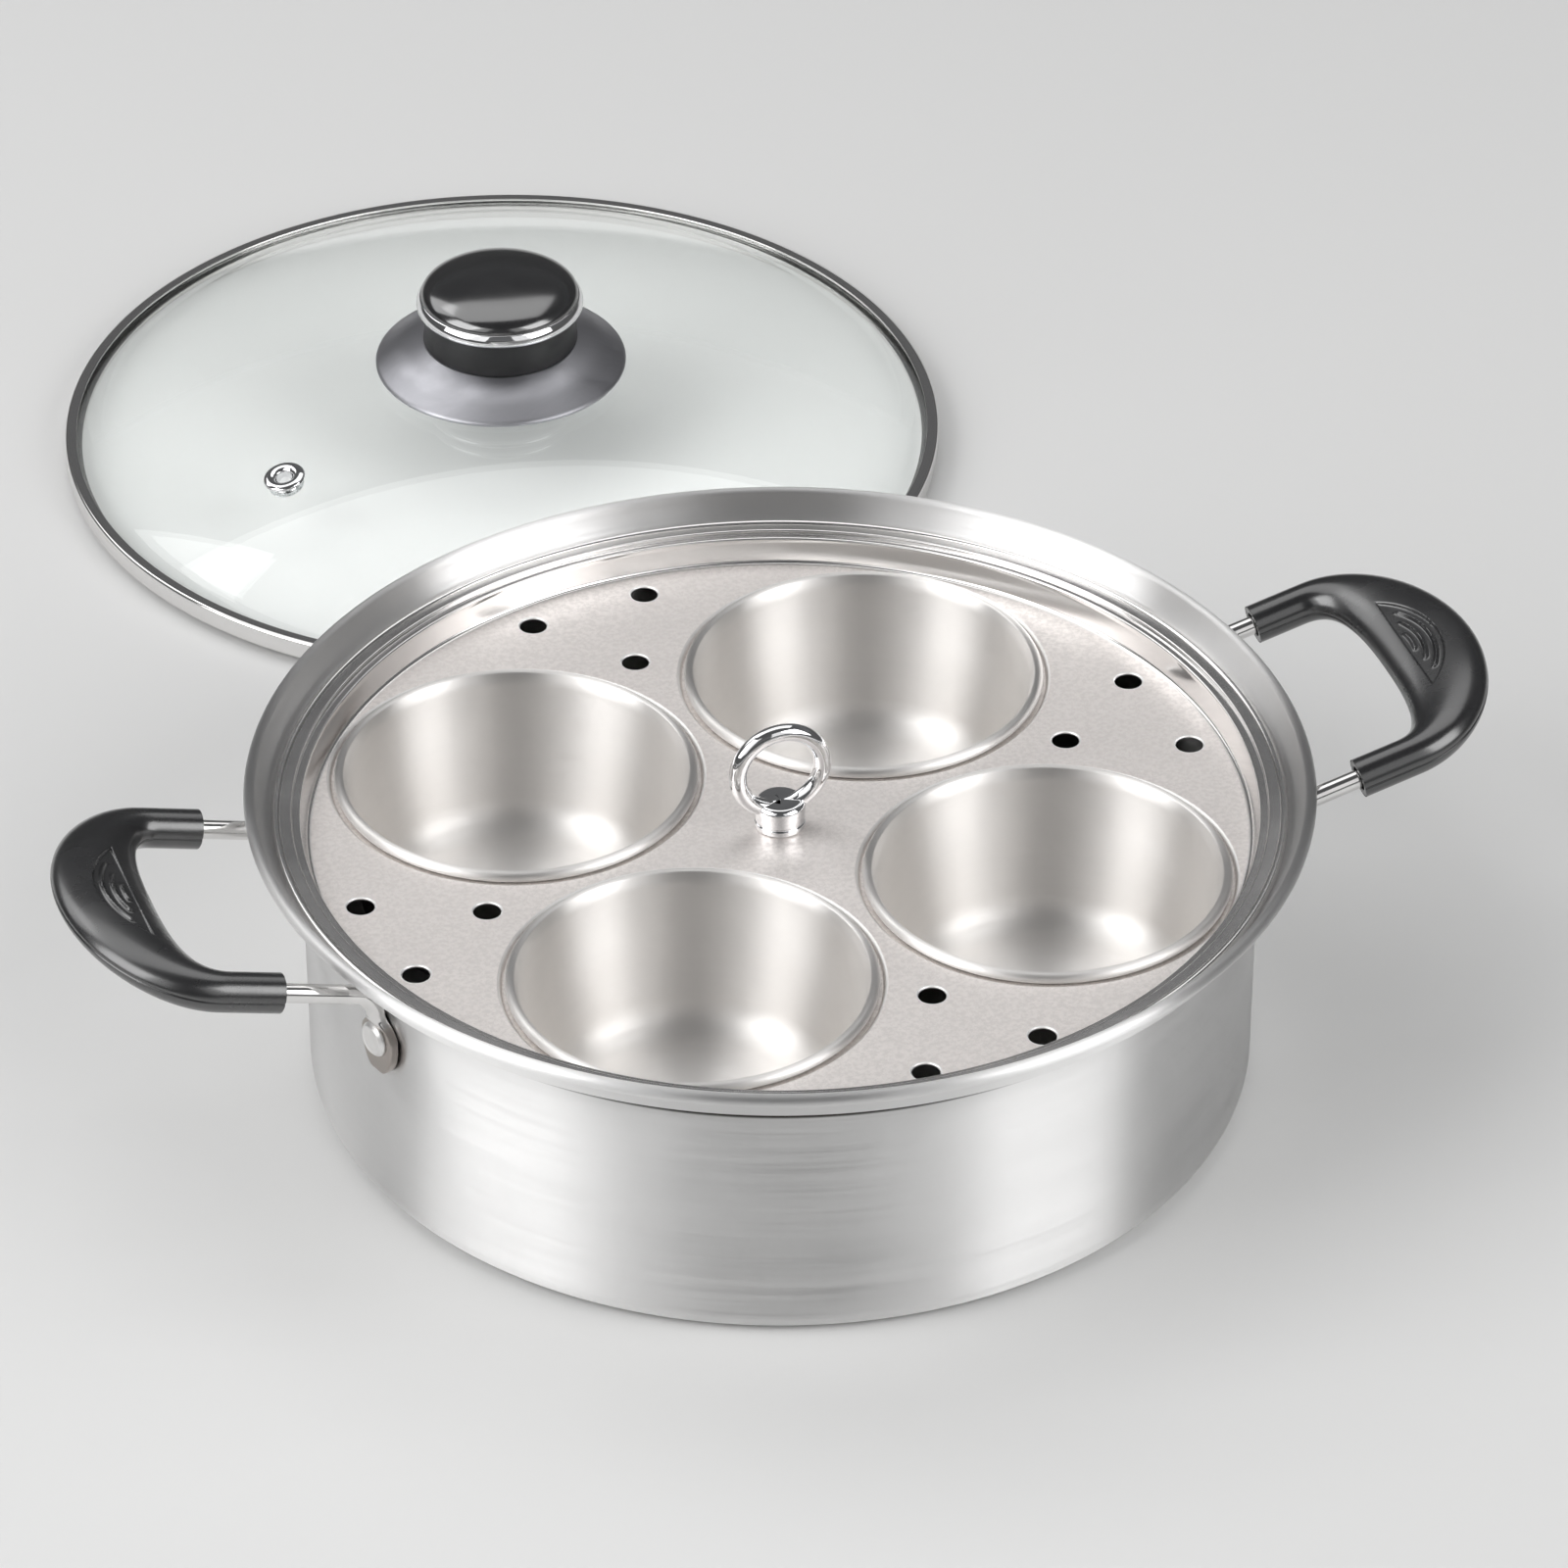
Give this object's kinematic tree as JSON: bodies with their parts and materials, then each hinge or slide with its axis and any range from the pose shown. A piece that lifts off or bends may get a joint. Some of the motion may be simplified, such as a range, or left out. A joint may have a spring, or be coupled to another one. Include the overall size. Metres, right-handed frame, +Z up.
{
  "type": "egg poacher pan",
  "caption": "Steel pot with a perforated tray that hangs egg cups over boiling water; lift ring, two loop handles with black grips, and a domed glass lid with a knob beside it.",
  "frame": {"origin": "centre of the pot's flat base, on the surface that the pot and its lid stand on", "axes": "+X through the right handle, +Y towards the lid that lies beside the pot, +Z up"},
  "size_m": [0.3474, 0.5111, 0.092],
  "materials": {
    "polished_steel": "mirror-polished stainless steel",
    "handle_steel": "polished stainless steel rod and rivets",
    "tray_steel": "satin stainless plate with a polished edge",
    "cup_steel": "spun stainless with fine turning lines",
    "chrome": "bright polished",
    "grip_plastic": "glossy black heat-proof plastic",
    "knob_plastic": "glossy black heat-proof plastic",
    "skirt_metal": "satin dark grey",
    "glass": "clear tempered glass",
    "gasket_rubber": "matte silicone rubber",
    "fastener_steel": "plated steel",
    "brass": "turned brass"
  },
  "bodies": {
    "pot": {"pot_base": "polished_steel", "pot_wall": "polished_steel", "pot_rim": "polished_steel", "handle_rod_right": "handle_steel", "handle_rod_left": "handle_steel", "handle_rivets_right": "handle_steel", "handle_rivets_left": "handle_steel", "grip_upper_right": "grip_plastic", "grip_upper_left": "grip_plastic", "grip_lower_right": "grip_plastic", "grip_lower_left": "grip_plastic", "grip_screws_right": "fastener_steel", "grip_screws_left": "fastener_steel"},
    "tray_lift": {"tray_plate": "tray_steel", "tray_rim": "tray_steel", "lift_ring": "chrome", "lift_ring_screw": "fastener_steel", "lift_ring_washer": "fastener_steel"},
    "cup_right": {"egg_cup_right": "cup_steel"},
    "cup_back": {"egg_cup_back": "cup_steel"},
    "cup_left": {"egg_cup_left": "cup_steel"},
    "cup_front": {"egg_cup_front": "cup_steel"},
    "lid": {"lid_glass": "glass", "lid_band": "polished_steel", "vent_eyelet": "polished_steel", "knob_skirt": "skirt_metal", "knob_neck": "knob_plastic", "knob_trim_ring": "chrome", "knob_cap": "knob_plastic", "knob_gasket_upper": "gasket_rubber", "knob_gasket_lower": "gasket_rubber", "knob_washer": "fastener_steel", "knob_screw": "fastener_steel", "knob_insert": "brass"}
  },
  "joints": [
    {"name": "tray_lift_out", "type": "slide", "parent": "pot", "child": "tray_lift", "axis": [0, 0, 1], "range_m": [0, 0.1]},
    {"name": "lid_lift", "type": "slide", "parent": "pot", "child": "lid", "axis": [0, 0, 1], "range_m": [0, 0.12]},
    {"name": "cup_right_lift_out", "type": "slide", "parent": "tray_lift", "child": "cup_right", "axis": [0, 0, 1], "range_m": [0, 0.06]},
    {"name": "cup_back_lift_out", "type": "slide", "parent": "tray_lift", "child": "cup_back", "axis": [0, 0, 1], "range_m": [0, 0.06]},
    {"name": "cup_left_lift_out", "type": "slide", "parent": "tray_lift", "child": "cup_left", "axis": [0, 0, 1], "range_m": [0, 0.06]},
    {"name": "cup_front_lift_out", "type": "slide", "parent": "tray_lift", "child": "cup_front", "axis": [0, 0, 1], "range_m": [0, 0.06]}
  ]
}
